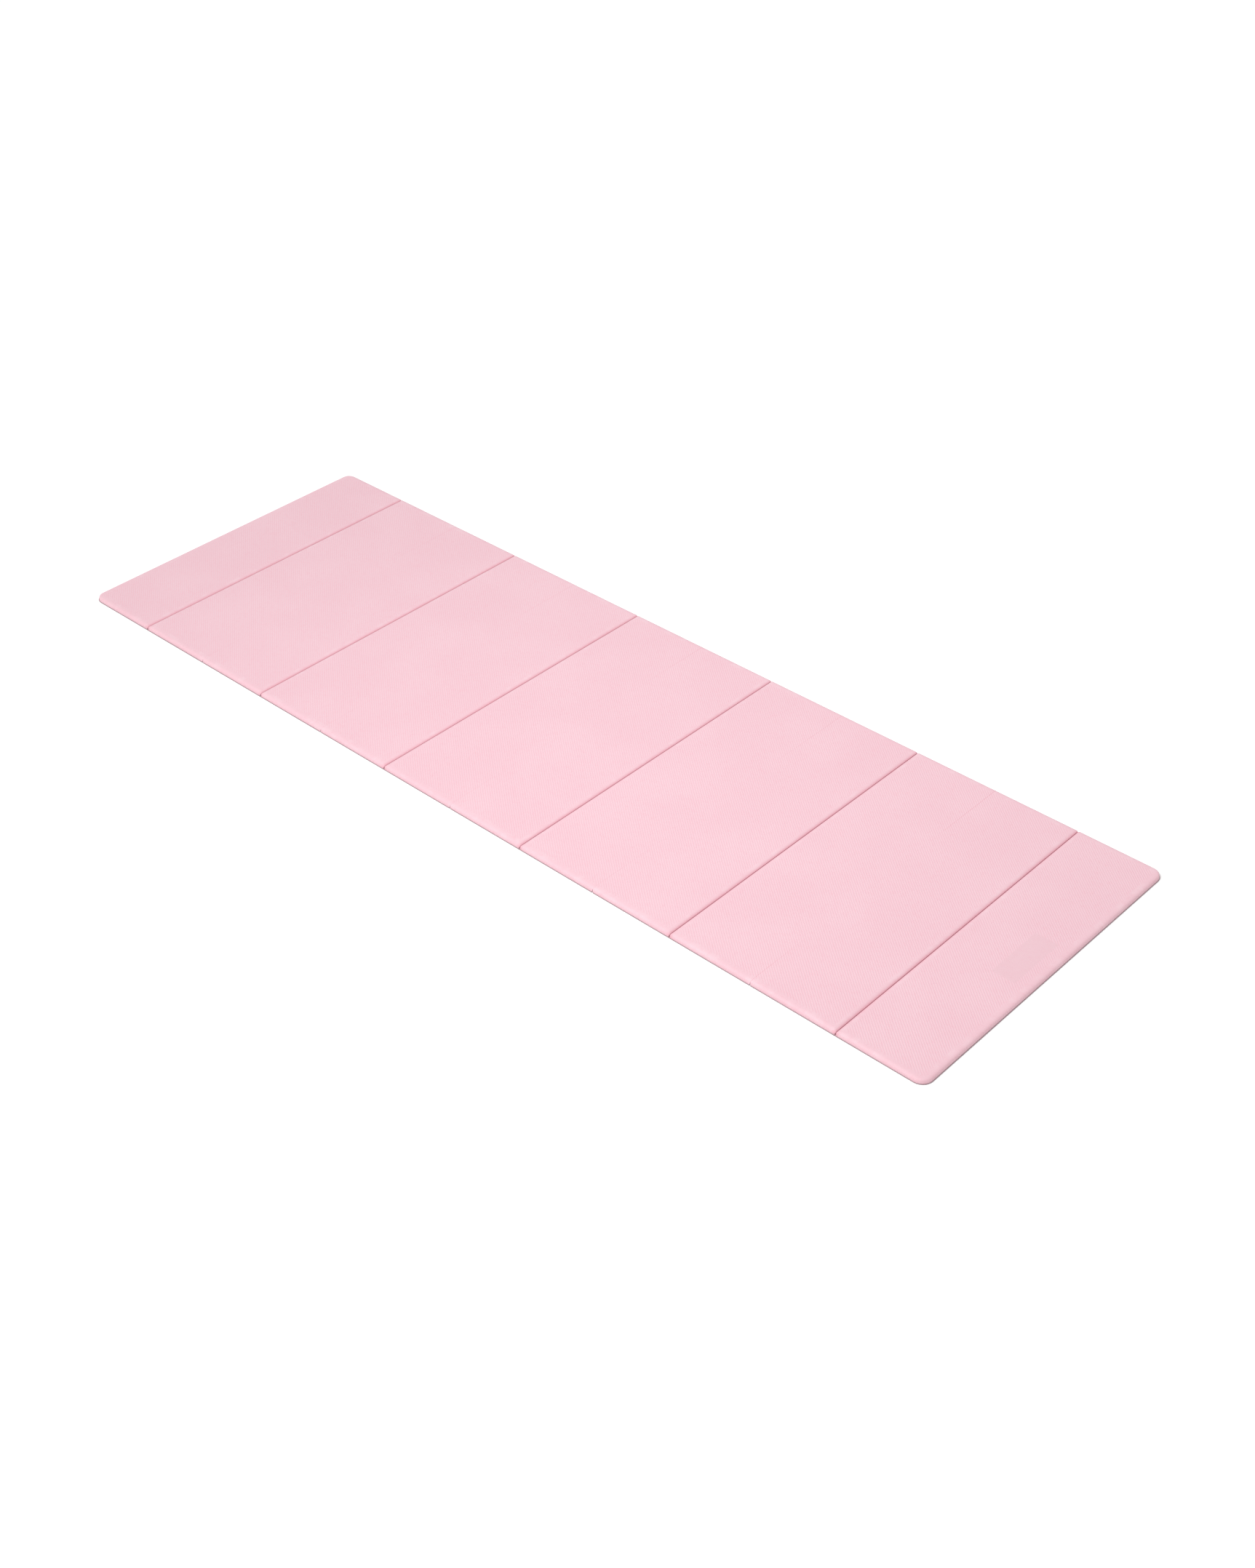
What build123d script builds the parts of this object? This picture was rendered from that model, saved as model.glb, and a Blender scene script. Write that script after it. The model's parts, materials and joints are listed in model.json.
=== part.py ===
from build123d import *
import os

# Accordion-folding exercise mat, lying flat and open.
# +X runs along the length, +Y across the width, +Z up. The origin is the centre of the underside.

# ---- driving dimensions, mm ----
length = 1800.0
width = 600.0
thickness = 8.0
panel_count = 12
film = 0.6                  # thickness of the top and bottom films and of the fold webs
lip = 1.0                   # the bottom film stands out this far all round
corner_radius = 19.0        # plan radius of the four corners
rim_round = 6.0             # the top rim rolls over by this radius
web_half = 0.5              # half the width of the bare web at a fold
throat_half = 1.0           # half the width of a groove where its wall turns into its shoulder
shoulder_half = 3.0         # half the width of a groove where it meets the face
shoulder_depth = 1.6        # how far below the face the shoulder starts

# ---- derived ----
pitch = length / panel_count
ends = [-length / 2 + pitch * i for i in range(panel_count + 1)]


def slab(inset, low, high, edge_round):
    """The whole mat's outline, pulled in by inset, from height low to high, with its top rim rolled over."""
    outline = RectangleRounded(length - 2 * inset, width - 2 * inset, corner_radius - inset)
    body = Pos(0, 0, low) * extrude(outline, high - low)
    if edge_round > 0:
        top_rim = body.faces().sort_by(Axis.Z)[-1].edges()
        body = fillet(top_rim, edge_round)
    return body


def groove_wall(opens_up, wall):
    """Half-widths of a groove by height, from the underside up. wall is the film lining its side."""
    half_by_height = [
        (0.0, web_half + wall),
        (film, web_half + wall),
        (thickness - shoulder_depth - wall, throat_half + wall),
        (thickness - wall, shoulder_half + wall),
    ]
    if opens_up:
        return half_by_height
    return [(thickness - height, half) for height, half in reversed(half_by_height)]


def end_points(index, side, wall):
    """The line that bounds a panel at fold line number index. side is +1 where the panel lies on its +X side."""
    at_mat_end = index in (0, panel_count)
    if at_mat_end:
        return [(ends[index], 0.0), (ends[index], thickness)]
    opens_up = index % 2 == 1
    return [(ends[index] + side * half, height) for height, half in groove_wall(opens_up, wall)]


def panel_prism(panel, wall):
    """The space of one panel, across the whole width, between the walls of its two fold lines."""
    left = end_points(panel - 1, 1, wall)
    right = end_points(panel, -1, wall)
    points = left + right[::-1]
    section = Plane.XZ * make_face(Polyline(*points, close=True))
    return extrude(section, width / 2 + lip, both=True)


def web_box(index, low):
    """The strip of bare film left at a fold line, from height low."""
    return Pos(ends[index], 0, low + film / 2) * Box(2 * web_half, width, film)


def solids_of(shape):
    """One shape from whatever solids a cut leaves."""
    return Compound(shape.solids()) if len(shape.solids()) > 1 else shape.solids()[0]


os.makedirs("parts", exist_ok=True)

bottom_sheet = slab(0.0, 0.0, film, 0.0)
cover_envelope = slab(lip, film, thickness, rim_round)
core_envelope = slab(lip + film, film, thickness - film, rim_round - film)

# ---- the panels: a foam core between two films ----
for panel in range(1, panel_count + 1):
    outer = panel_prism(panel, 0.0)
    inner = panel_prism(panel, film)
    core = core_envelope & inner
    top_skin = (cover_envelope & outer) - core
    bottom_skin = bottom_sheet & outer
    export_step(solids_of(core), f"parts/foam_core_{panel:02d}.step")
    export_step(solids_of(top_skin), f"parts/top_skin_{panel:02d}.step")
    export_step(solids_of(bottom_skin), f"parts/bottom_skin_{panel:02d}.step")

# ---- the fold webs: low where the groove opens upward, high where it opens downward ----
for index in range(1, panel_count):
    opens_up = index % 2 == 1
    if opens_up:
        web = bottom_sheet & web_box(index, 0.0)
    else:
        web = cover_envelope & web_box(index, thickness - film)
    export_step(solids_of(web), f"parts/fold_web_{index:02d}.step")
    print(f"fold {index:02d} at x = {ends[index]:.0f} mm, groove opens {'up' if opens_up else 'down'}")
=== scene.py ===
# %% [markdown]
# # A folding exercise mat
# The real thing is a thin foam mat, 1.8 m long, covered in film. Six grooves run across its top and
# five across its underside, so it folds like an accordion. The packed CAD model is loaded first and
# never changed. It could be shown as it is, but its panels are plain blocks. So the visible shapes are
# built around it, in the same metres, with +X along the mat, +Y across it and +Z up.

# %% Load the packed model
import json
import math

import bpy
import numpy as np
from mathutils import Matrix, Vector


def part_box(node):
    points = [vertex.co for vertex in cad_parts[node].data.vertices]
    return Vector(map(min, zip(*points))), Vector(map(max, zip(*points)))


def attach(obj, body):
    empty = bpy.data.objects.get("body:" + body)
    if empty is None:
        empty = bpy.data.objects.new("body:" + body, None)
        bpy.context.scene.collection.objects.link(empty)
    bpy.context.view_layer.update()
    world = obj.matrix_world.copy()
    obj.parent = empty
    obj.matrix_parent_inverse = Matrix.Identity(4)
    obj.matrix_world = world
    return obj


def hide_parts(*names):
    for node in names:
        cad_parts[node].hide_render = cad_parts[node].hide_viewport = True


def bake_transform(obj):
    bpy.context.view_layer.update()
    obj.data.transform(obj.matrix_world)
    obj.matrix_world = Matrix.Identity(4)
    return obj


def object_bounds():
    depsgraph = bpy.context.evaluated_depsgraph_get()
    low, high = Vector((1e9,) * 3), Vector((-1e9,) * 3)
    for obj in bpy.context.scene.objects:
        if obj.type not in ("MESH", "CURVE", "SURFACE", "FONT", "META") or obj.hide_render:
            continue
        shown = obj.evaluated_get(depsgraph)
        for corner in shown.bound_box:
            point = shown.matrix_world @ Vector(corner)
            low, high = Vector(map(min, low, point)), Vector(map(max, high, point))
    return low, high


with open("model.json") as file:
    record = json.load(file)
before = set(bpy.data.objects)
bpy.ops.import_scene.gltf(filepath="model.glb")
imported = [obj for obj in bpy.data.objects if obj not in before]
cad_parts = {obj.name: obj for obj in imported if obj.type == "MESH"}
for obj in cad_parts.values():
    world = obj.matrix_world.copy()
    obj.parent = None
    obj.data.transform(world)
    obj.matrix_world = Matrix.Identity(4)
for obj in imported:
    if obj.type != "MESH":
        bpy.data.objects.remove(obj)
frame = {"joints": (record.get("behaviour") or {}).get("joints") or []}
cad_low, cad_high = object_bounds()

print("CAD box", [round(v, 4) for v in (*cad_low, *cad_high)])

# %% [markdown]
# ## What the frame tells us
# Every place comes from the CAD nodes. The measures could be typed in again, but then a change in the
# model would leave the looks behind. A fold line is a joint: its X is the line, and its height says
# which way the groove opens. Under the mat, the bare film is at the bottom and the groove opens upward.

# %% Measures taken from the frame
MM = 0.001
LENGTH = cad_high.x - cad_low.x
HALF_WIDTH = (cad_high.y - cad_low.y) / 2
TOP = cad_high.z
folds = sorted(frame["joints"], key=lambda joint: joint["pos_m"][0])
PANELS = len(folds) + 1
PITCH = LENGTH / PANELS
web_low, web_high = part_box("fold_web_01")
WEB_HALF = (web_high.x - web_low.x) / 2
FILM = web_high.z - web_low.z
LIP = HALF_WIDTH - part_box("top_skin_02")[1].y
print("panels", PANELS, "pitch", round(PITCH, 4), "film", round(FILM, 5), "lip", round(LIP, 5))

# %% [markdown]
# ## The camera
# The camera comes first, because everything else is judged through it. It stands in front of the mat
# and out past its right end, a little higher than the mat is long, and looks down along the diagonal. A
# 50 mm lens keeps the far end from shrinking too much. The place could be typed as three numbers, but
# it is worked out from the point it looks at, an angle round the mat, an angle above the floor and a
# distance, so each can be tried alone.

# %% Make the camera
LOOK_AT = Vector((0.1595, -0.0683, 0.0))
AZIMUTH = math.radians(42.33)
ELEVATION = math.radians(36.94)
DISTANCE = 3.406
away = Vector((
    math.sin(AZIMUTH) * math.cos(ELEVATION),
    -math.cos(AZIMUTH) * math.cos(ELEVATION),
    math.sin(ELEVATION),
))
camera_data = bpy.data.cameras.new("camera")
camera_data.lens = 50
camera_data.sensor_width = 36
camera = bpy.data.objects.new("camera", camera_data)
camera.location = LOOK_AT + away * DISTANCE
camera.rotation_mode = "QUATERNION"
camera.rotation_quaternion = (-away).to_track_quat("-Z", "Y")
bpy.context.scene.collection.objects.link(camera)
bpy.context.scene.camera = camera
bpy.context.scene.view_settings.view_transform = "Standard"
print("camera at", [round(v, 3) for v in camera.location])

# %% [markdown]
# ## Shader sums written as sums
# A material is a graph, but most of it is arithmetic. Each Math node could be added by hand, three
# lines at a time. This small class wraps one output socket instead, so that `1 - mask` or `grain * 0.2
# + 0.5` adds the nodes by itself and reads like the sum it is. Colours and vectors never go through
# Math nodes, because those keep only one number: they use Mix and Vector Math.

# %% A socket that does arithmetic
class Wire:
    """One output socket of a finish. Arithmetic on it adds Math nodes."""

    def __init__(self, finish, socket):
        self.finish = finish
        self.socket = socket

    def math(self, operation, *values):
        return self.finish.node("ShaderNodeMath", {"operation": operation}, dict(enumerate(values)))

    def __add__(self, other):
        return self.math("ADD", self, other)

    def __radd__(self, other):
        return self.math("ADD", other, self)

    def __sub__(self, other):
        return self.math("SUBTRACT", self, other)

    def __rsub__(self, other):
        return self.math("SUBTRACT", other, self)

    def __mul__(self, other):
        return self.math("MULTIPLY", self, other)

    def __rmul__(self, other):
        return self.math("MULTIPLY", other, self)

    def sine(self):
        return self.math("SINE", self)

    def size(self):
        """The number without its sign."""
        return self.math("ABSOLUTE", self)

    def above_zero(self):
        """The number, or 0 where it is below 0."""
        return self.math("MAXIMUM", self, 0.0)

    def root(self):
        return self.math("SQRT", self)


print("a wire can give:", [name for name in vars(Wire) if not name.startswith("_")])

# %% [markdown]
# ## One finish, one method that adds nodes
# A finish is a material with its Principled shader. Node groups could hold what finishes share, but
# they are long to write as a script. Here every node but the sums comes from `node`, which takes the
# node's type, its settings, and the values or links of its sockets. The other methods are the few
# patterns that the mat's finishes share: where a point lies on its piece, a step with a soft edge, a
# blend of colours, and noise.

# %% The finish class
class Finish:
    """A material, its tree and its Principled shader."""

    def __init__(self, name):
        self.material = bpy.data.materials.new(name)
        self.material.use_nodes = True
        self.tree = self.material.node_tree
        self.shader = self.tree.nodes["Principled BSDF"]

    def node(self, kind, settings, inputs, output=0):
        """Adds a node: its settings first, then its sockets. Gives the named output as a Wire."""
        node = self.tree.nodes.new(kind)
        for name, value in settings.items():
            setattr(node, name, value)
        for name, value in inputs.items():
            if isinstance(value, Wire):
                self.tree.links.new(value.socket, node.inputs[name])
            else:
                node.inputs[name].default_value = value
        return Wire(self, node.outputs[output])

    def place(self):
        """The point's own coordinates as a vector, then its x, y and z as numbers."""
        point = self.node("ShaderNodeTexCoord", {}, {}, "Object")
        return (point, *(self.node("ShaderNodeSeparateXYZ", {}, {"Vector": point}, axis) for axis in "XYZ"))

    def soft_step(self, value, low, high):
        """0 at low, 1 at high, and smooth in between."""
        inputs = {"Value": value, "From Min": low, "From Max": high}
        return self.node("ShaderNodeMapRange", {"interpolation_type": "SMOOTHSTEP"}, inputs)

    def mix(self, share, first, second):
        """The first colour where share is 0, the second where it is 1."""
        return self.node("ShaderNodeMix", {"data_type": "RGBA"}, {0: share, 6: first, 7: second}, 2)

    def noise(self, point, scale, detail=2.0, roughness=0.5):
        """Noise from 0 to 1, with so many lumps a metre."""
        inputs = {"Vector": point, "Scale": scale, "Detail": detail, "Roughness": roughness}
        return self.node("ShaderNodeTexNoise", {}, inputs, "Fac")

    def surface(self, links, numbers):
        """Links what varies, and sets on the shader itself what is the same all over."""
        for name, value in links.items():
            self.tree.links.new(value.socket, self.shader.inputs[name])
        for name, value in numbers.items():
            self.shader.inputs[name].default_value = value
        print("finish", self.material.name, "with", len(self.tree.nodes), "nodes")
        return self.material


print("a finish can add:", [name for name in vars(Finish) if not name.startswith("_")])

# %% [markdown]
# ## The rib pattern
# The top film is embossed with fine ribs that run slantwise over the whole mat and waver a little from
# side to side. A bump texture could fake them, but they catch the light at the edges of the grooves, so
# they are real shape here. Exactly 27 ribs fit in one panel's pitch along X. The pattern then runs on
# over every fold line, and panels of the same kind can share one shape. The same numbers drive the mesh
# and the shader, which paints shade into the valleys.

# %% Numbers of the rib pattern
RIBS_PER_PANEL = 27
RIB_SLANT = math.radians(50.2)
RIB_RUN = PITCH / RIBS_PER_PANEL
RIB_LEAN = math.tan(RIB_SLANT)
RIB_DEPTH = 0.34 * MM
WAVER = 0.22 * MM
WAVER_RUN = 12.0 * MM
TURN = 2 * math.pi
print("rib spacing", round(RIB_RUN * math.cos(RIB_SLANT) / MM, 3), "mm")


def waver(y):
    """How far a rib swings to +X at a place across the mat."""
    return WAVER * np.sin(TURN * y / WAVER_RUN)

# %% [markdown]
# ## Three kinds of side
# A panel's left or right side is one of three things: the end of the mat, a groove that opens up, or a
# groove that opens down. A list could name them, but the joints already know, so they are asked. Fold
# lines are counted from 0, the left end, to 12, the right end.

# %% Kinds of fold line
def kind_of(line):
    """What fold line number line is."""
    if line in (0, PANELS):
        return "end"
    return "opens up" if folds[line - 1]["pos_m"][2] < TOP / 2 else "opens down"


def line_x(line):
    """X of fold line number line."""
    return cad_low.x + PITCH * line


print([kind_of(line) for line in range(PANELS + 1)])

# %% [markdown]
# ## Where the ribs stop
# The ribs fade out a little way inside the rims and the grooves, which leaves a smooth rolled border.
# They run straight over the faint creases above the downward grooves. One small rectangle near the
# right-hand end is smooth too. The ribs could be cut off at a line, but pressed film has no such step,
# so a mask fades them: 1 where they have their full depth and 0 where the film is smooth.

# %% Smooth borders and the smooth rectangle
BAND = {"end": 11.0 * MM, "opens up": 7.0 * MM, "opens down": WEB_HALF}
FADE = 3.5 * MM
PATCH_LOW = (0.836, -0.054)
PATCH_HIGH = (0.874, 0.054)
PATCH_EDGE = 1.2 * MM


def soft_share(value, low, high):
    """The same soft step as in the shader, on arrays."""
    share = np.clip((value - low) / (high - low), 0, 1)
    return share * share * (3 - 2 * share)


def rib_mask(x, y):
    """1 where the ribs are at full depth."""
    mask = soft_share(HALF_WIDTH - BAND["end"] - np.abs(y), 0, FADE)
    for line in range(PANELS + 1):
        if kind_of(line) != "opens down":
            mask = mask * soft_share(np.abs(x - line_x(line)) - BAND[kind_of(line)], 0, FADE)
    in_x = soft_share(np.minimum(x - PATCH_LOW[0], PATCH_HIGH[0] - x), -PATCH_EDGE, 0)
    in_y = soft_share(np.minimum(y - PATCH_LOW[1], PATCH_HIGH[1] - y), -PATCH_EDGE, 0)
    return mask * (1 - in_x * in_y)


in_the_middle = float(rib_mask(line_x(1.5), 0.0))
at_the_rim = float(rib_mask(line_x(1.5), HALF_WIDTH))
print("mask inside panel 2:", in_the_middle, "and at its rim:", at_the_rim)

# %% [markdown]
# ## Height of the top face
# The crests of the ribs are the highest points of the mat. The smooth borders lie a little lower than
# the crests and higher than the valleys, as they do when ribs are pressed into soft film. Each piece
# could have its own heights, but one function for the whole mat makes neighbours agree where they meet.

# %% The top face as a height at every place
BORDER_LEVEL = TOP - 0.35 * RIB_DEPTH


def top_height(x, y):
    """Height of the ribbed face."""
    phase = (x - cad_low.x + RIB_LEAN * y - waver(y)) / RIB_RUN
    ribs = TOP - RIB_DEPTH * (0.5 - 0.5 * np.cos(TURN * phase))
    return BORDER_LEVEL + (ribs - BORDER_LEVEL) * rib_mask(x, y)


print("crests at", round(TOP / MM, 2), "mm, smooth border at", round(BORDER_LEVEL / MM, 2), "mm")

# %% [markdown]
# ## A lattice that follows the ribs
# A plain square grid fine enough for the ribs would be very heavy. This lattice has its long lines
# along the ribs, four to each rib, and its cross rows only as close as the waver needs. Where a line
# runs out through a side of the panel, its cell is cut there, and the cut corner is shared with the
# next cell, so the mesh has no gaps.

# %% Lines, rows and where they cross a side
LINES_PER_RIB = 4
LINE_STEP = RIB_RUN / LINES_PER_RIB
RIB_HALF_WIDTH = HALF_WIDTH - BAND["end"]
RIB_ROWS = 193
CLOSING_STEPS = 12
rib_rows = np.linspace(-RIB_HALF_WIDTH, RIB_HALF_WIDTH, RIB_ROWS)


def rib_line_x(number, y):
    """X of one long line of the lattice at y."""
    return cad_low.x + LINE_STEP * number - RIB_LEAN * y + waver(y)


def crossing_y(number, x):
    """Where a long line crosses a side at x, found by a few steps that close in on it."""
    y = 0.0
    for _ in range(CLOSING_STEPS):
        y = (cad_low.x + LINE_STEP * number + waver(y) - x) / RIB_LEAN
    return y


print("rows", len(rib_rows), "every", round((rib_rows[1] - rib_rows[0]) / MM, 2), "mm")

# %% [markdown]
# ## Cutting the lattice to a panel
# A Boolean modifier could trim the lattice, but it is slow on so many cells and leaves slivers. Here
# each cell is walked round corner by corner instead. A corner inside the panel is kept, and where an
# edge passes a side, a new corner is set exactly on it. Corners are kept under a name, so cells that
# meet share them.

# %% The ribbed face of one panel
class RibbedFace:
    """Corners and cells of the top face between two sides."""

    def __init__(self, x_low, x_high):
        self.sides = (x_low, x_high)
        self.points = []
        self.names = {}
        self.cells = []
        for row in range(len(rib_rows) - 1):
            first = (x_low - cad_low.x + RIB_LEAN * rib_rows[row]) / LINE_STEP
            last = (x_high - cad_low.x + RIB_LEAN * rib_rows[row + 1]) / LINE_STEP
            for number in range(math.floor(first) - 1, math.ceil(last) + 1):
                cell = self.cut(row, number)
                if len(cell) > 2:
                    self.cells.append(cell)

    def corner(self, name, x, y):
        """The number of a corner, which is made the first time it is asked for."""
        if name not in self.names:
            self.names[name] = len(self.points)
            self.points.append((x, y))
        return self.names[name]

    def cut(self, row, number):
        """The corners of one cell, going round, without what lies past a side."""
        corners = [(row, number), (row, number + 1), (row + 1, number + 1), (row + 1, number)]
        spots = [(rib_line_x(n, rib_rows[r]), rib_rows[r]) for r, n in corners]
        cell = []
        for here in range(4):
            after = (here + 1) % 4
            (x, y), (next_x, _) = spots[here], spots[after]
            if self.sides[0] < x < self.sides[1]:
                cell.append(self.corner(corners[here], x, y))
            for side, limit in enumerate(self.sides):
                if (x < limit) == (next_x < limit):
                    continue
                if corners[here][0] == corners[after][0]:
                    cell.append(self.corner(("row", side, corners[here][0]), limit, y))
                else:
                    line = corners[here][1]
                    cell.append(self.corner(("line", side, line), limit, crossing_y(line, limit)))
        return cell

    def heights(self):
        """Every corner with its height."""
        spots = np.array(self.points)
        return np.column_stack([spots, top_height(spots[:, 0], spots[:, 1])])


trial = RibbedFace(line_x(1) + BAND["opens up"], line_x(2) - WEB_HALF)
print("one panel's ribbed face:", len(trial.points), "corners,", len(trial.cells), "cells")

# %% [markdown]
# ## Going round a face
# The ribbed face is joined to the coarser rim outside it, so its border corners are needed in order.
# Blender can bridge two edge loops by itself, but it may twist when one loop has many more corners. So
# each corner gets a number for how far round it is: 0 at the front left corner, 1 at the front right, 2
# at the back right, 3 at the back left.

# %% Border corners in order
ON_THE_EDGE = 1e-6


def border_of(spots):
    """The border corners of a face with straight sides, and how far round each is, from 0 to 4."""
    spots = np.array(spots)[:, :2]
    low, high = spots.min(axis=0), spots.max(axis=0)
    across, along = ((spots - low) / (high - low)).T
    front = [n for n in np.argsort(across) if along[n] < ON_THE_EDGE]
    right = [n for n in np.argsort(along) if across[n] > 1 - ON_THE_EDGE][1:]
    back = [n for n in np.argsort(-across) if along[n] > 1 - ON_THE_EDGE][1:]
    left = [n for n in np.argsort(-along) if across[n] < ON_THE_EDGE][1:-1]
    around = [across[n] for n in front] + [1 + along[n] for n in right]
    around += [3 - across[n] for n in back] + [4 - along[n] for n in left]
    return [int(n) for n in front + right + back + left], around


print("border corners of that face:", len(border_of(trial.points)[0]))

# %% [markdown]
# ## Loops round a panel
# Outside the ribbed face, a panel is a stack of loops, like the contour lines on a map. A bevelled box
# would be quicker, but it rolls every side over in the same way, and a panel's sides differ. A loop is
# a rectangle with rounded corners. Every loop has the same number of points in the same order, so two
# loops that follow each other are joined by a ring of four-cornered faces. Each side has its own inset
# and height, and a corner blends them.

# %% Make one loop
CORNER_RADIUS = 19.0 * MM
ARC_POINTS = 11
END_POINTS = 24
SIDE_POINTS = 96
JUST_PAST = 1e-6


def loop_points(insets, heights, radii, outline):
    """Points of a loop. Sides go front, right, back, left. Gives the points and how far round each is."""
    x_low, x_high = outline[0] + insets[3], outline[1] - insets[1]
    y_low, y_high = -HALF_WIDTH + insets[0], HALF_WIDTH - insets[2]
    left_radius, right_radius = radii
    turns = [
        (x_low + left_radius, y_low + left_radius, left_radius),
        (x_high - right_radius, y_low + right_radius, right_radius),
        (x_high - right_radius, y_high - right_radius, right_radius),
        (x_low + left_radius, y_high - left_radius, left_radius),
    ]
    arcs = []
    for turn, (x, y, radius) in enumerate(turns):
        angles = math.pi + (turn + np.linspace(0, 1, ARC_POINTS)) * math.pi / 2
        levels = np.linspace(heights[turn - 1], heights[turn], ARC_POINTS)
        arc_x, arc_y = x + radius * np.cos(angles), y + radius * np.sin(angles)
        arcs.append(np.column_stack([arc_x, arc_y, levels]))
    points, around = [], []
    for turn, count in enumerate((END_POINTS, SIDE_POINTS, END_POINTS, SIDE_POINTS)):
        here, after = arcs[turn][-1], arcs[(turn + 1) % 4][0]
        points.extend(arcs[turn])
        # The rest of an arc counts as just past its corner, so a whole arc fans out from the inner corner.
        around.extend([turn] + [turn + JUST_PAST] * (ARC_POINTS - 1))
        for share in np.linspace(0, 1, count + 2)[1:-1]:
            points.append(here + (after - here) * share)
            around.append(turn + share)
    return points, around


print("points in a loop:", 4 * ARC_POINTS + 2 * (END_POINTS + SIDE_POINTS))

# %% [markdown]
# ## Closing a shape from loops
# `Shell` collects points and faces of one closed piece. Modifiers could close it, but then the seams
# would be out of our hands. It zips the fine border of a face to the first coarse loop, stepping
# forward on whichever side lags behind, adds more loops, and closes the last one. Shading is smooth,
# apart from edges that turn more sharply than 40 degrees.

# %% Collect points and faces
SHARP_TURN = math.radians(40)


class Shell:
    """Points and faces of one closed piece."""

    def __init__(self):
        self.points = []
        self.faces = []

    def add(self, points):
        """Adds points and gives their numbers."""
        start = len(self.points)
        self.points.extend(tuple(float(v) for v in point) for point in points)
        return list(range(start, len(self.points)))

    def add_face(self, spots, cells):
        """Adds a ready-made face of many cells, and gives its border."""
        self.add(spots)
        self.faces.extend(tuple(cell) for cell in cells)
        return border_of(spots)

    def zip_loops(self, inner, inner_around, outer, outer_around):
        """Triangles between a fine inner loop and a coarse outer loop."""
        inner_next = inner_around[1:] + [4.0]
        outer_next = outer_around[1:] + [4.0]
        i, j = 0, 0
        while i < len(inner) or j < len(outer):
            here, there = inner[i % len(inner)], outer[j % len(outer)]
            if i == len(inner) or (j < len(outer) and outer_next[j] <= inner_next[i]):
                j += 1
                self.faces.append((here, there, outer[j % len(outer)]))
            else:
                i += 1
                self.faces.append((here, there, inner[i % len(inner)]))

    def ring(self, inner, outer):
        """Four-cornered faces between two loops of equal length."""
        for n in range(len(inner)):
            after = (n + 1) % len(inner)
            self.faces.append((inner[n], outer[n], outer[after], inner[after]))

    def close(self, loop):
        """One face over the last loop."""
        self.faces.append(tuple(reversed(loop)))

    def turn_over(self):
        """Mirrors the shape through the floor and keeps its faces outward."""
        self.points = [(x, y, -z) for x, y, z in self.points]
        self.faces = [face[::-1] for face in self.faces]

    def piece(self, name, material, shift=0.0):
        """The finished mesh object, moved along X by shift."""
        mesh = bpy.data.meshes.new(name)
        mesh.from_pydata([(x + shift, y, z) for x, y, z in self.points], [], self.faces)
        mesh.polygons.foreach_set("use_smooth", [True] * len(self.faces))
        mesh.set_sharp_from_angle(angle=SHARP_TURN)
        mesh.materials.append(material)
        obj = bpy.data.objects.new(name, mesh)
        bpy.context.scene.collection.objects.link(obj)
        return obj


print("sharp where faces turn more than", round(math.degrees(SHARP_TURN)), "degrees")

# %% [markdown]
# ## A soft edge
# Pressed foam never has a sharp edge. Each edge could have its own list of points, but one curve serves
# for all of them: it starts level, turns down more and more steeply, and ends upright. With squareness
# 2 it is a quarter of an ellipse, and larger numbers keep the face flat for longer and then turn more
# tightly.

# %% The soft edge curve
EDGE_STEPS = 9


def soft_edge(start, end, squareness):
    """Points (inset, height) of a soft edge, without its start."""
    angles = np.linspace(0, math.pi / 2, EDGE_STEPS + 1)[1:]
    out = np.sin(angles) ** (2 / squareness)
    down = 1 - np.abs(np.cos(angles)) ** (2 / squareness)
    insets = start[0] + (end[0] - start[0]) * out
    heights = start[1] + (end[1] - start[1]) * down
    return list(zip(insets, heights))


def straight(start, end, steps):
    """Points (inset, height) of a straight run, without its start."""
    return [tuple(np.array(start) + (np.array(end) - start) * n / steps) for n in range(1, steps + 1)]


print("a quarter of a circle:", np.round(soft_edge((0, 0), (1, -1), 2), 2)[::3].tolist())

# %% [markdown]
# ## The three side profiles of a pad
# The outer rim is rolled over and ends behind the lip of the base film. An upward groove has a wide
# soft shoulder and then a narrow slit down to the bare film. Above a downward groove the wall starts
# straight under the ribs. A profile could stop where it goes out of sight, but a closed piece is easier
# to check, so every profile runs on and tucks inward, where the base film hides it.

# %% Profiles of the pad
RIM_FOOT = 1.6 * MM
RIM_SQUARENESS = 3.2
RIM_TUCK = 3.0 * MM
SLIT_HALF = 0.35 * MM
SHOULDER = 3.0 * MM
SHOULDER_SQUARENESS = 1.8
WALL_STEPS = 5
PAD_STEPS = EDGE_STEPS + WALL_STEPS
CREASE_TOP = TOP - 3.0 * MM
UNDER_GAP = 0.05 * MM
ABOVE_BASE = {"end": FILM + 0.2 * MM, "opens up": FILM, "opens down": FILM + 0.3 * MM}


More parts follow.
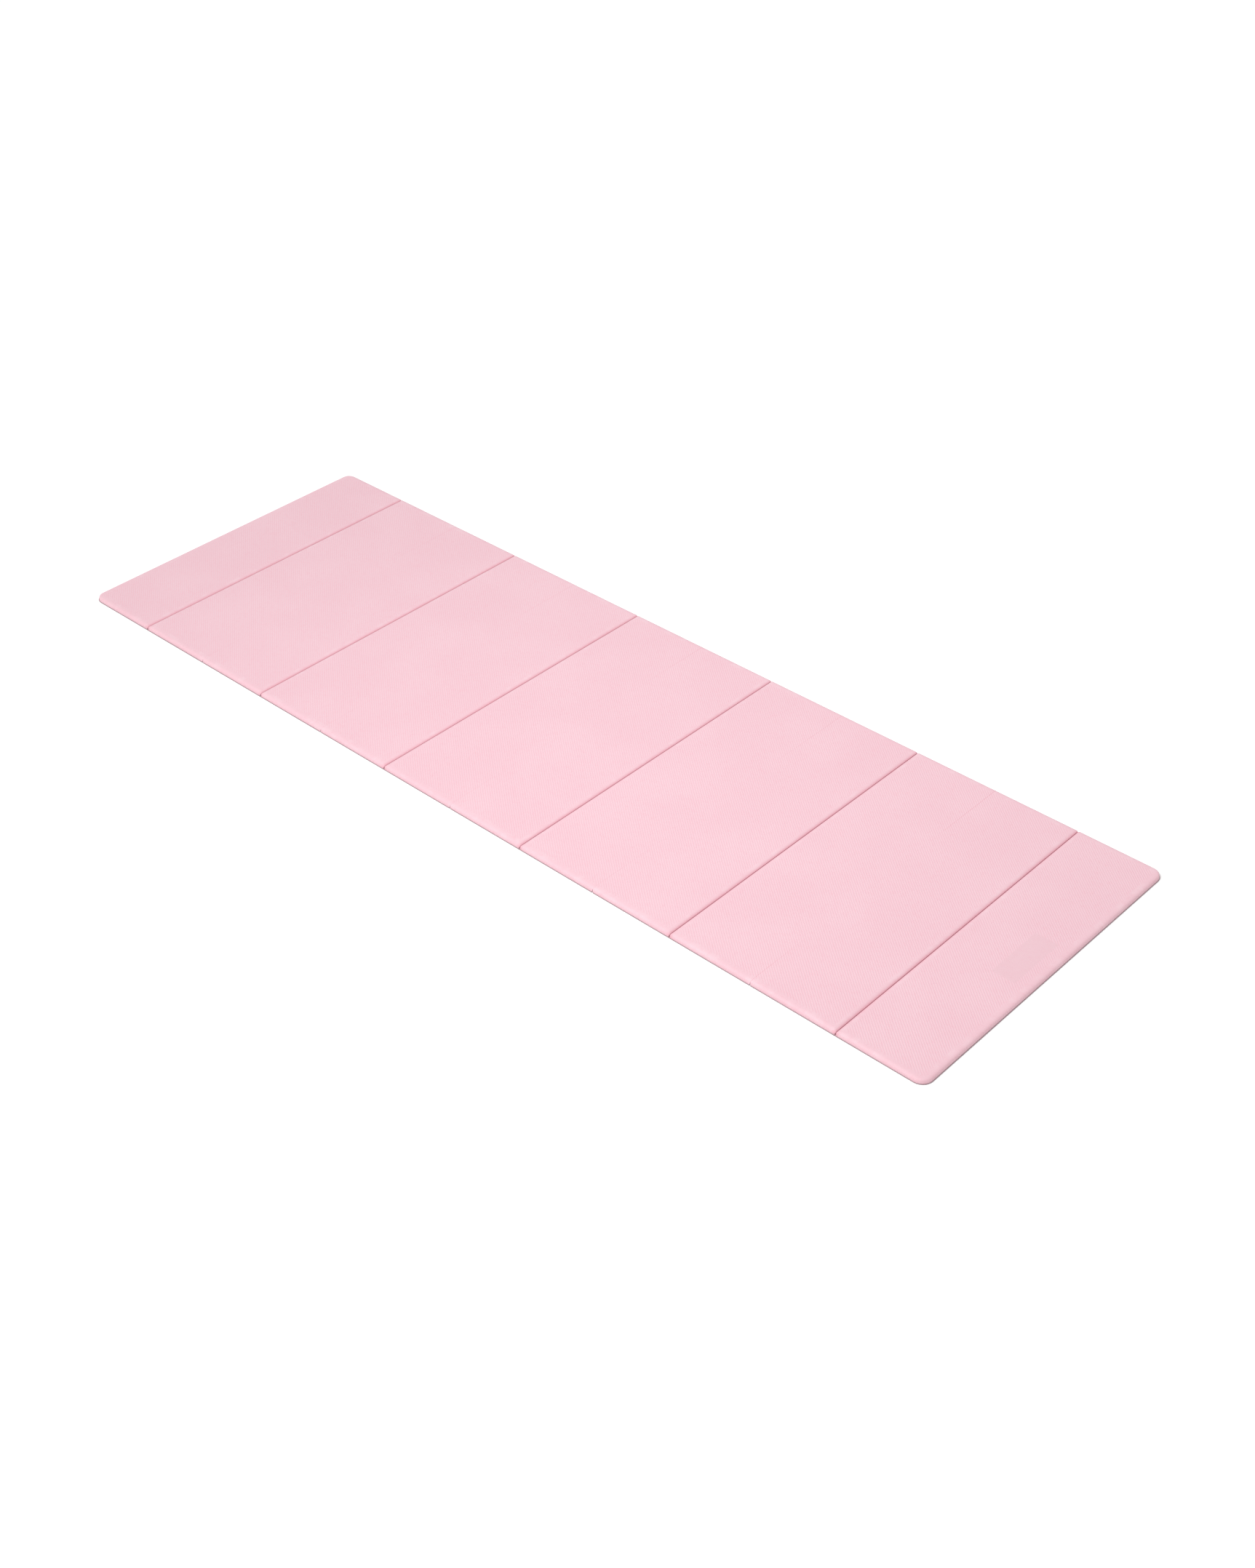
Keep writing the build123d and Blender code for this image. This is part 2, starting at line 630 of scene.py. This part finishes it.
def pad_profile(kind):
    """Points (inset, height) from the ribbed face outward and down."""
    if kind == "end":
        edge = soft_edge((BAND["end"], BORDER_LEVEL), (LIP, RIM_FOOT), RIM_SQUARENESS)
        return edge + straight(edge[-1], (RIM_TUCK, ABOVE_BASE[kind]), WALL_STEPS)
    if kind == "opens up":
        throat = (SLIT_HALF, BORDER_LEVEL - SHOULDER)
        edge = soft_edge((BAND["opens up"], BORDER_LEVEL), throat, SHOULDER_SQUARENESS)
        return edge + straight(throat, (WEB_HALF + UNDER_GAP, ABOVE_BASE[kind]), WALL_STEPS)
    wall = [(WEB_HALF, CREASE_TOP)]
    wall += straight(wall[0], (SLIT_HALF, SHOULDER), EDGE_STEPS - 1)
    return wall + straight(wall[-1], (BAND["opens up"], ABOVE_BASE[kind]), WALL_STEPS)


for kind in BAND:
    print(kind, "in mm", np.round(np.array(pad_profile(kind)) / MM, 2)[::3].tolist())

# %% [markdown]
# ## The pad of one panel
# A pad is the foam of one panel in its top film. The two could be separate pieces, but the foam shows
# nowhere, so one closed shape stands for both. The ribbed face is made first, then the loops are hung
# round it. The mat's own corners are round in plan, and the corners beside a fold line only just.

# %% Build one pad
FOLD_CORNER = {"end": CORNER_RADIUS - LIP, "opens up": 2.4 * MM, "opens down": 0.05 * MM}


def pad_shell(panel):
    """The closed foam pad of one panel."""
    left, right = kind_of(panel - 1), kind_of(panel)
    outline = (line_x(panel - 1), line_x(panel))
    face = RibbedFace(outline[0] + BAND[left], outline[1] - BAND[right])
    shell = Shell()
    above, above_around = shell.add_face(face.heights(), face.cells)
    profiles = [pad_profile(kind) for kind in ("end", right, "end", left)]
    for step in range(PAD_STEPS):
        insets, heights = zip(*(profile[step] for profile in profiles))
        share = min(1.0, (BAND["end"] - insets[0]) / (BAND["end"] - LIP)) if step < EDGE_STEPS else 1.0
        radii = [FOLD_CORNER[kind] * share for kind in (left, right)]
        points, around = loop_points(insets, heights, radii, outline)
        loop = shell.add(points)
        if step == 0:
            shell.zip_loops(above, above_around, loop, around)
        else:
            shell.ring(above, loop)
        above = loop
    shell.close(above)
    return shell


print("loops round a pad:", PAD_STEPS)

# %% [markdown]
# ## The finish of the top film
# The film is pale pink and satin. A painted picture would need every panel unwrapped, so the colour is
# worked out from where a point lies. The valleys between the ribs get painted shade, a little deeper in
# colour than the crests. Slow cloudy patches show where the foam took the colour unevenly, and a fine
# leathery grain breaks up the shine. The smooth borders are rubbed paler and smoother here and there by
# use.

# %% Colours of the film
PINK = (0.698, 0.472, 0.525, 1)
DEEP_PINK = (0.690, 0.290, 0.355, 1)
PALE_PINK = (0.730, 0.535, 0.582, 1)
GREY_PINK = (0.625, 0.425, 0.463, 1)


def rib_valley(x, y):
    """1 along the valleys between the ribs and 0 along the crests."""
    swing = (y * (TURN / WAVER_RUN)).sine() * WAVER
    quarter_turn = math.pi / 2
    phase = (x - cad_low.x + y * RIB_LEAN - swing) * (TURN / RIB_RUN) + quarter_turn
    return 0.5 - phase.sine() * 0.5


def from_groove(x):
    """Distance to the nearest upward groove. They lie at every second fold line."""
    return x.math("PINGPONG", x - line_x(1), PITCH)


def ribbed_area(finish, x, y):
    """1 where the ribs are, and 0 along the smooth borders of the mat and of its upward grooves."""
    beside_grooves = finish.soft_step(from_groove(x), BAND["opens up"], BAND["opens up"] + FADE)
    inside = BAND["end"] + FADE
    from_sides = finish.soft_step(y.size(), HALF_WIDTH - BAND["end"], HALF_WIDTH - inside)
    from_ends = finish.soft_step(x.size(), LENGTH / 2 - BAND["end"], LENGTH / 2 - inside)
    return beside_grooves * from_sides * from_ends


def smooth_rectangle(finish, x, y):
    """1 on the small smooth rectangle."""
    middle = [(low + high) / 2 for low, high in zip(PATCH_LOW, PATCH_HIGH)]
    reach = [(high - low) / 2 for low, high in zip(PATCH_LOW, PATCH_HIGH)]
    in_x = finish.soft_step((x - middle[0]).size(), reach[0] + PATCH_EDGE, reach[0])
    in_y = finish.soft_step((y - middle[1]).size(), reach[1] + PATCH_EDGE, reach[1])
    return in_x * in_y


print("an upward groove every", round(2 * PITCH, 3), "m")

# %% [markdown]
# ## Mixing the film's colour
# Ribbed film and bare film could be two materials written out in full. They are cut from the same
# sheet, so one function makes both. What differs is passed in: whether it is ribbed, and how much
# painted shade deepens its colour.

# %% The film finish
CLOUDS_PER_METRE = 7.0
SCUFFS_PER_METRE = 45.0
MOTTLE_PER_METRE = 160.0
GRAIN_PER_METRE = 1500.0
FILM_BUMP = 0.05 * MM
CLOUD_TINT = 0.30
MOTTLE_TINT = 0.10
# How much painted shade the rib valleys get, and how much more where the mottle is strong.
PAINTED_VALLEY_SHADE = 0.16
MOTTLED_VALLEY_SHADE = 0.17
RECTANGLE_TINT = 0.30
WORN_TINT = 0.35
WORN_SHINE = 0.08


def film(name, ribbed, painted_shade):
    """Satin film. The last argument, given the finish and a point's x, y and z, says how much painted shade
    deepens its colour.
    """
    finish = Finish(name)
    point, x, y, z = finish.place()
    clouds = finish.noise(point, CLOUDS_PER_METRE, 3.0)
    mottle = finish.noise(point, MOTTLE_PER_METRE, 3.0, 0.6)
    grain = finish.noise(point, GRAIN_PER_METRE, 2.0)
    colour = finish.mix(finish.soft_step(clouds, 0.35, 0.70) * CLOUD_TINT, PINK, PALE_PINK)
    specks = finish.soft_step(mottle, 0.45, 0.75)
    colour = finish.mix(specks * MOTTLE_TINT, colour, DEEP_PINK)
    rough = 0.48 + grain * 0.10 + clouds * 0.08
    if ribbed:
        patch = smooth_rectangle(finish, x, y)
        middle = ribbed_area(finish, x, y)
        # Painted shade: the valleys between the ribs are mixed toward deep pink by a mottled amount, but
        # not on the smooth borders or the smooth rectangle.
        valley = (rib_valley(x, y) - 0.5) * middle * (1 - patch) + 0.5
        tint = PAINTED_VALLEY_SHADE + mottle * MOTTLED_VALLEY_SHADE
        colour = finish.mix(valley * tint, colour, DEEP_PINK)
        colour = finish.mix(patch * RECTANGLE_TINT, colour, GREY_PINK)
        scuffs = finish.noise(point, SCUFFS_PER_METRE, 4.0, 0.65)
        worn = (1 - middle) * finish.soft_step(scuffs, 0.48, 0.66)
        colour = finish.mix(worn * WORN_TINT, colour, PALE_PINK)
        rough = rough - worn * WORN_SHINE
    # Painted shade: the colour is mixed toward deep pink by the amount that the last argument gives.
    colour = finish.mix(painted_shade(finish, x, y, z), colour, DEEP_PINK)
    inputs = {"Strength": 0.25, "Distance": FILM_BUMP, "Height": grain}
    bump = finish.node("ShaderNodeBump", {}, inputs)
    links = {"Base Color": colour, "Roughness": rough, "Normal": bump}
    return finish.surface(links, {"IOR": 1.45, "Sheen Weight": 0.08, "Sheen Roughness": 0.4})

# %% [markdown]
# ## Painted shade in the grooves and on the rims
# In a groove the light bounces between pink walls, and the pink gets deeper. The renderer does some of
# that by itself. It could be left at that, but soft foam lets light in as well, so the finish paints
# that shade and bounced light in: its colour deepens with the depth below the top face, a little on
# the rims and more in the grooves.

# %% Painted shade low down
SHADE_FROM = TOP - 0.15 * MM
SHADE_FULL_BELOW = TOP - 2.0 * MM
RIM_SHADE_TINT = 0.12
GROOVE_SHADE_TINT = 0.35


def painted_shade_low_down(finish, x, y, z):
    """Painted shade, deeper with the depth below the top face: a little on the rims, and more in the
    grooves.
    """
    groove = finish.soft_step(from_groove(x), BAND["opens up"], BAND["opens up"] / 2)
    tint = groove * GROOVE_SHADE_TINT + RIM_SHADE_TINT
    return finish.soft_step(z, SHADE_FROM, SHADE_FULL_BELOW) * tint


embossed_film = film("ribbed_top_film", True, painted_shade_low_down)

# %% [markdown]
# ## The twelve pads
# All twelve could be built one by one. Panels of the same kind share one shape instead, which is built
# once and moved along the mat. Each pad rides on the body of its own panel and stands for two CAD
# nodes: the top film and the foam core.

# %% Build and place the pads
pad_shapes = {}
for panel in range(1, PANELS + 1):
    kinds = (kind_of(panel - 1), kind_of(panel))
    if kinds not in pad_shapes:
        pad_shapes[kinds] = (panel, pad_shell(panel))
    first, shell = pad_shapes[kinds]
    pad = shell.piece(f"panel_pad_{panel:02d}", embossed_film, (panel - first) * PITCH)
    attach(pad, f"panel_{panel:02d}")
    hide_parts(f"top_skin_{panel:02d}", f"foam_core_{panel:02d}")
print("pads", PANELS, "from", len(pad_shapes), "shapes of about", len(shell.points), "points")

# %% [markdown]
# ## The underside
# The film under the mat is embossed with straight shallow ribs that grip the floor. An even grid could
# carry them, but they run along the mat, so a rib needs only a few long cells: a line of corners across
# the mat, repeated at a handful of places along it. Near both sides of a panel the ribs fade out.

# %% The ribbed underside of one panel
GRIP_RIBS = 144
GRIP_DEPTH = 0.22 * MM
GRIP_FADE = 4.0 * MM
LINES_PER_GRIP = 4
UNDER_BAND = {"end": 8.0 * MM, "opens up": 4.0 * MM, "opens down": BAND["opens up"]}


def grip_face(x_low, x_high):
    """Corners and cells of the underside, drawn as if it faced up: height is the depth below the mat."""
    xs = np.array([x_low, x_low + GRIP_FADE, x_high - GRIP_FADE, x_high])
    reach = HALF_WIDTH - UNDER_BAND["end"]
    ys = np.linspace(-reach, reach, GRIP_RIBS * LINES_PER_GRIP + 1)
    spots = []
    for n, y in enumerate(ys):
        crest = 0.5 - 0.5 * math.cos(TURN * n / LINES_PER_GRIP)
        for column, x in enumerate(xs):
            level = crest if column in (1, 2) else 1.0
            spots.append((x, y, -GRIP_DEPTH * (1 - level)))
    across = len(xs)
    cells = []
    for n in range(len(ys) - 1):
        for column in range(across - 1):
            corner = n * across + column
            cells.append((corner, corner + 1, corner + across + 1, corner + across))
    return spots, cells


print("grip ribs", GRIP_RIBS, "corners", len(grip_face(line_x(1), line_x(2))[0]))

# %% [markdown]
# ## The lip round the base
# The base film stands out all round the mat as a thin rolled lip. It could be a bead laid round the
# outline, but it is the film's own edge, so it is part of the same piece. It is widest a little above
# the floor and tucks in below that, so a thin dark line shows where the mat meets the floor, and the
# base film's finish paints contact shadow on it as well. Beside an upward groove the film is only as
# thick as itself, and beside a downward groove it follows the groove's soft shoulder.

# %% Profiles of the base film
LIP_HALF_HEIGHT = 0.75 * MM
LIP_MIDDLE = 0.85 * MM
LIP_DEPTH = 1.3 * MM
LIP_ANGLES = np.radians(np.linspace(-90, 125, EDGE_STEPS))
LIP_FOOT = 4.0 * MM
WALL_COVER = 0.5 * MM
BASE_STEPS = EDGE_STEPS + 1
BELOW_STEPS = 3


def base_profile(kind):
    """Points (inset, height) from the ribbed underside outward and up."""
    if kind == "end":
        foot = [(LIP_FOOT, 0.0)]
        insets = LIP_DEPTH * (1 - np.cos(LIP_ANGLES))
        heights = LIP_MIDDLE + LIP_HALF_HEIGHT * np.sin(LIP_ANGLES)
        return foot + list(zip(insets, heights))
    if kind == "opens up":
        corner = (WEB_HALF, 0.0)
        below = straight((UNDER_BAND[kind], 0.0), corner, BELOW_STEPS)
        return below + straight(corner, (WEB_HALF, FILM), BASE_STEPS - BELOW_STEPS)
    start = (UNDER_BAND[kind], 0.0)
    edge = soft_edge(start, (SLIT_HALF, SHOULDER), SHOULDER_SQUARENESS)
    return edge + [(SLIT_HALF + WALL_COVER, SHOULDER)]


for kind in BAND:
    print(kind, "in mm", np.round(np.array(base_profile(kind)) / MM, 2)[::3].tolist())

# %% [markdown]
# ## Build one base film
# The base film is the mat's underside. It could have a builder of its own, made for faces that look
# down. Drawing it upside down lets the same loops and rings serve, and then it is turned over.

# %% The base film of one panel
BASE_CORNER = {"end": CORNER_RADIUS, "opens up": 0.3 * MM, "opens down": 0.3 * MM}
SMALLEST_CORNER = 0.1 * MM


def base_shell(panel):
    """The closed base film of one panel, with its lip."""
    left, right = kind_of(panel - 1), kind_of(panel)
    outline = (line_x(panel - 1), line_x(panel))
    shell = Shell()
    spots, cells = grip_face(outline[0] + UNDER_BAND[left], outline[1] - UNDER_BAND[right])
    above, above_around = shell.add_face(spots, cells)
    profiles = [base_profile(kind) for kind in ("end", right, "end", left)]
    for step in range(BASE_STEPS):
        insets, heights = zip(*(profile[step] for profile in profiles))
        shrink = {"end": insets[0], "opens up": 0, "opens down": 0}
        radii = [max(SMALLEST_CORNER, BASE_CORNER[kind] - shrink[kind]) for kind in (left, right)]
        points, around = loop_points(insets, [-height for height in heights], radii, outline)
        loop = shell.add(points)
        if step == 0:
            shell.zip_loops(above, above_around, loop, around)
        else:
            shell.ring(above, loop)
        above = loop
    shell.close(above)
    shell.turn_over()
    return shell


print("loops round a base film:", BASE_STEPS)

# %% [markdown]
# ## The finish of the base film
# It is the same pink, a little greyer. Low on the outer edge of the lip, where the mat meets the floor,
# contact shadow is painted in as a dark line. A separate dark thread could be laid round it, but
# shadow has no edge of its own, so the dark is mixed into the finish by height and by distance from
# the outline.

# %% Base film finish
# Where and how dark the painted contact shadow on the lip is.
CONTACT_SHADOW_OUT = (CORNER_RADIUS - 2.6 * MM, CORNER_RADIUS - 1.6 * MM)
CONTACT_SHADOW_DOWN = (1.65 * MM, 1.4 * MM)
CONTACT_SHADOW_GREY = (0.170, 0.110, 0.120, 1)
CONTACT_SHADOW_TINT = 0.72
BASE_GRAIN_PER_METRE = 900.0
BASE_BUMP = 0.08 * MM


def painted_contact_shadow(finish, x, y, z):
    """Painted contact shadow, low on the outer edge of the lip, all the way round the mat and its corners.
    """
    past_x = (x.size() - (LENGTH / 2 - CORNER_RADIUS)).above_zero()
    past_y = (y.size() - (HALF_WIDTH - CORNER_RADIUS)).above_zero()
    reach = (past_x * past_x + past_y * past_y).root()
    return finish.soft_step(reach, *CONTACT_SHADOW_OUT) * finish.soft_step(z, *CONTACT_SHADOW_DOWN)


def base_finish():
    """Film with a grip texture, a grey cast and painted contact shadow on its lower edge."""
    finish = Finish("grip_base_film")
    point, x, y, z = finish.place()
    clouds = finish.noise(point, CLOUDS_PER_METRE, 3.0)
    mottle = finish.noise(point, MOTTLE_PER_METRE, 3.0, 0.6)
    grain = finish.noise(point, BASE_GRAIN_PER_METRE, 3.0, 0.6)
    colour = finish.mix(finish.soft_step(clouds, 0.35, 0.70) * 0.5, PINK, GREY_PINK)
    colour = finish.mix(finish.soft_step(mottle, 0.45, 0.80) * 0.25, colour, DEEP_PINK)
    # Painted contact shadow: the lower edge of the lip is mixed toward dark grey.
    colour = finish.mix(painted_contact_shadow(finish, x, y, z) * CONTACT_SHADOW_TINT, colour, CONTACT_SHADOW_GREY)
    inputs = {"Strength": 0.4, "Distance": BASE_BUMP, "Height": grain}
    bump = finish.node("ShaderNodeBump", {}, inputs)
    rough = 0.58 + grain * 0.14
    return finish.surface({"Base Color": colour, "Roughness": rough, "Normal": bump}, {"IOR": 1.45})


base_film = base_finish()

# %% [markdown]
# ## The twelve base films
# As with the pads, each could be built afresh, but panels of the same kind share one shape.

# %% Build and place the base films
base_shapes = {}
for panel in range(1, PANELS + 1):
    kinds = (kind_of(panel - 1), kind_of(panel))
    if kinds not in base_shapes:
        base_shapes[kinds] = (panel, base_shell(panel))
    first, shell = base_shapes[kinds]
    base = shell.piece(f"base_film_{panel:02d}", base_film, (panel - first) * PITCH)
    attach(base, f"panel_{panel:02d}")
    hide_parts(f"bottom_skin_{panel:02d}")
print("base films", PANELS, "from", len(base_shapes), "shapes of about", len(shell.points), "points")

# %% [markdown]
# ## Strips across the mat
# Where two panels meet, only bare film is left, a millimetre wide. The two panels could simply touch,
# but a gap would open between them when they fold. So the film is drawn as a strip across the mat, in
# columns close enough to bend round through half a turn. Its edges match the two panels exactly.

# %% One strip
STRIP_COLUMNS = 7


def strip_shell(centre, ys, tops, thickness):
    """A closed strip. tops holds the height of every row at every column."""
    xs = centre + np.linspace(-WEB_HALF, WEB_HALF, STRIP_COLUMNS)
    shell = Shell()
    rows = []
    for y, heights in zip(ys, tops):
        upper = [(x, y, z) for x, z in zip(xs, heights)]
        lower = [(x, y, z - thickness) for x, z in zip(xs[::-1], heights[::-1])]
        rows.append(shell.add(upper + lower))
    for front, back in zip(rows, rows[1:]):
        for n in range(len(front)):
            after = (n + 1) % len(front)
            shell.faces.append((front[n], front[after], back[after], back[n]))
    shell.close(rows[0])
    shell.faces.append(tuple(rows[-1]))
    return shell


print("columns of corners in a strip:", STRIP_COLUMNS, "over", round(2 * WEB_HALF / MM, 2), "mm")

# %% [markdown]
# ## The strip over a downward groove
# The ribs run on over it. A flat strip would cut a smooth line through them, so its two edges take the
# heights of the ribbed faces beside it, corner for corner. In the middle it dips a little. The dip is
# deepest near the rims, where the crease shows, and nearly gone between.

# %% Heights of the strip over a downward groove
RIM_ROWS = 7
STRIP_INSET = 1.9 * MM
DIP = {"back": 0.20 * MM, "front": 0.12 * MM, "middle": 0.02 * MM}
CREASE_FROM = {"back": 0.08, "front": 0.16}
CREASE_FULL = HALF_WIDTH - 0.03


def edge_heights(x):
    """The corners of a ribbed face along its side at x: where they are across the mat, and how high."""
    first = math.ceil((x - cad_low.x - RIB_LEAN * RIB_HALF_WIDTH) / LINE_STEP)
    last = math.floor((x - cad_low.x + RIB_LEAN * RIB_HALF_WIDTH) / LINE_STEP)
    crossings = [crossing_y(number, x) for number in range(first, last + 1)]
    ys = np.unique(np.concatenate([rib_rows, crossings]))
    ys = ys[np.abs(ys) <= RIB_HALF_WIDTH]
    return ys, top_height(np.full(len(ys), x), ys)


def rim_height(inset):
    """Height of the rolled rim at an inset from the outline."""
    out = np.clip((BAND["end"] - inset) / (BAND["end"] - LIP), 0, 1)
    down = 1 - (1 - out ** RIM_SQUARENESS) ** (1 / RIM_SQUARENESS)
    return BORDER_LEVEL - (BORDER_LEVEL - RIM_FOOT) * down


def crease_strip(centre):
    """The strip over a downward groove."""
    left_ys, left_heights = edge_heights(centre - WEB_HALF)
    right_ys, right_heights = edge_heights(centre + WEB_HALF)
    past = np.linspace(RIB_HALF_WIDTH, HALF_WIDTH - STRIP_INSET, RIM_ROWS + 1)[1:]
    ys = np.unique(np.concatenate([-past, left_ys, right_ys, past]))
    inset = HALF_WIDTH - np.abs(ys)
    sink = rim_height(inset) - BORDER_LEVEL
    left = np.interp(ys, left_ys, left_heights) + sink
    right = np.interp(ys, right_ys, right_heights) + sink
    across = np.linspace(0, 1, STRIP_COLUMNS)
    tops = np.outer(left, 1 - across) + np.outer(right, across)
    back = soft_share(ys, CREASE_FROM["back"], CREASE_FULL)
    front = soft_share(-ys, CREASE_FROM["front"], CREASE_FULL)
    dip = DIP["middle"] + DIP["back"] * back + DIP["front"] * front
    tops = tops - np.outer(dip, np.sin(math.pi * across))
    return strip_shell(centre, ys, tops, FILM)


print("corners along one side of a crease:", len(edge_heights(line_x(2) - WEB_HALF)[0]))

# %% [markdown]
# ## The finishes of the strips
# Over a downward groove the film is ribbed like the rest, with a line of painted shade along the crease.
# Under an upward groove it lies at the bottom of the slit, and painted shade takes its colour much
# deeper. One colour for both would do, but the crease would then end as a hard line, so its painted
# shade fades away toward the middle of the mat.

# %% Strip finishes
# The painted crease shade grows from half to full strength between these two places along the mat.
CREASE_SHADE_RAMP = (0.3, 0.6)
GROOVE_MOTTLE_PER_METRE = 60.0


def painted_crease_shade(finish, x, y, z):
    """Painted shade along the crease, which shows toward the rims, most of all at the back and toward the
    right end.
    """
    back = finish.soft_step(y, CREASE_FROM["back"], CREASE_FULL) * 0.32
    front = finish.soft_step(y * -1.0, CREASE_FROM["front"], CREASE_FULL) * 0.22
    right_end_share = finish.soft_step(x, *CREASE_SHADE_RAMP) * 0.5 + 0.5
    return (back + front) * right_end_share + 0.03


def painted_slit_shade(finish, x, y, z):
    """Painted shade at the bottom of the slit: nearly all the way to the deep colour."""
    return finish.noise(finish.place()[0], GROOVE_MOTTLE_PER_METRE) * 0.2 + 0.6


crease_film = film("crease_film", True, painted_crease_shade)
groove_film = film("groove_film", False, painted_slit_shade)

# %% [markdown]
# ## The eleven strips
# A strip could ride on one of its panels, but it would tear away from the other. Here each strip is
# built in place, with its transform baked into its points, and hides the fold web it stands for; it
# is attached to no panel.

# %% Build and place the strips
GROOVE_ROWS = 121
for number, joint in enumerate(folds, 1):
    centre = joint["pos_m"][0]
    if kind_of(number) == "opens up":
        reach = HALF_WIDTH - LIP
        ys = np.linspace(-reach, reach, GROOVE_ROWS)
        strip = strip_shell(centre, ys, np.full((len(ys), STRIP_COLUMNS), FILM), FILM)
        piece = strip.piece(f"fold_film_{number:02d}", groove_film)
    else:
        strip = crease_strip(centre)
        piece = strip.piece(f"fold_film_{number:02d}", crease_film)
    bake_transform(piece)
    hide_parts(f"fold_web_{number:02d}")
print("fold films", len(folds), "the last of", len(strip.points), "points")

# %% [markdown]
# ## The floor
# The floor is plain and pale. When the mat folds, some panels turn under the others, so the floor must
# sink to the lowest panel. It could be moved by hand for every pose. Here each panel carries four small
# markers, at the ends of its faces, and a Floor constraint keeps the floor under every one of them.
# Constraints are worked out by Blender at each pose, so nothing has to be run.

# %% Floor and its markers
FLOOR_REACH = 14.0
floor_mesh = bpy.data.meshes.new("floor")
floor_corners = [(-1, -1), (1, -1), (1, 1), (-1, 1)]
floor_spots = [(x * FLOOR_REACH, y * FLOOR_REACH, 0) for x, y in floor_corners]
floor_mesh.from_pydata(floor_spots, [], [(0, 1, 2, 3)])
floor = bpy.data.objects.new("floor", floor_mesh)
bpy.context.scene.collection.objects.link(floor)
paper = Finish("pale_floor")
fibres = paper.noise(paper.place()[0], 6.0)
paper_colour = paper.mix(fibres * 0.5, (0.945, 0.945, 0.945, 1), (0.960, 0.960, 0.960, 1))
floor_mesh.materials.append(paper.surface({"Base Color": paper_colour}, {"Roughness": 0.9}))

for panel in range(1, PANELS + 1):
    for line in (panel - 1, panel):
        for height in (0.0, TOP):
            marker = bpy.data.objects.new(f"marker_{panel:02d}_{line:02d}_{round(height / MM)}", None)
            marker.location = (line_x(line), 0, height)
            marker.empty_display_size = 0.01
            bpy.context.scene.collection.objects.link(marker)
            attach(marker, f"panel_{panel:02d}")
            under = floor.constraints.new("FLOOR")
            under.target = marker
            under.floor_location = "FLOOR_NEGATIVE_Z"
print("floor held under", len(floor.constraints), "markers")

# %% [markdown]
# ## Light
# A plain studio: an even pale surround, one far soft lamp high up in front and a little to the left,
# and a nearer one above the front edge. The surround alone could light it, but then every face would be
# equally bright. The front rim, which faces the far lamp, comes out brighter than the top, and the
# right-hand rim darker. The near lamp makes the middle of the mat a little brighter than its two ends.

# %% Make the lights
SURROUND_STRENGTH = 0.76
FAR_PLACE = (-1.0, -3.3, 3.9)
NEAR_PLACE = (0.12, -0.35, 1.45)
NEAR_TARGET = (0.12, 0.0, 0.0)
world = bpy.data.worlds.new("surround")
world.use_nodes = True
world.node_tree.nodes["Background"].inputs["Color"].default_value = (1.0, 0.99, 0.985, 1)
world.node_tree.nodes["Background"].inputs["Strength"].default_value = SURROUND_STRENGTH
bpy.context.scene.world = world


def point_at(lamp, place, target):
    """Sets a lamp at place, facing target."""
    lamp.location = place
    lamp.rotation_mode = "QUATERNION"
    lamp.rotation_quaternion = (Vector(target) - Vector(place)).to_track_quat("-Z", "Y")
    bpy.context.scene.collection.objects.link(lamp)


sun = bpy.data.lights.new("far_lamp", "SUN")
sun.energy = 1.36
sun.angle = math.radians(30)
point_at(bpy.data.objects.new("far_lamp", sun), FAR_PLACE, (0, 0, 0))
near = bpy.data.lights.new("near_lamp", "AREA")
near.shape = "SQUARE"
near.size = 0.9
near.energy = 8
point_at(bpy.data.objects.new("near_lamp", near), NEAR_PLACE, NEAR_TARGET)

# %% [markdown]
# ## Measure and finish
# The mat as shown has to be as large as the mat as modelled. The two could be compared by eye, but
# their boxes tell more. Only the CAD box is printed, near the top.
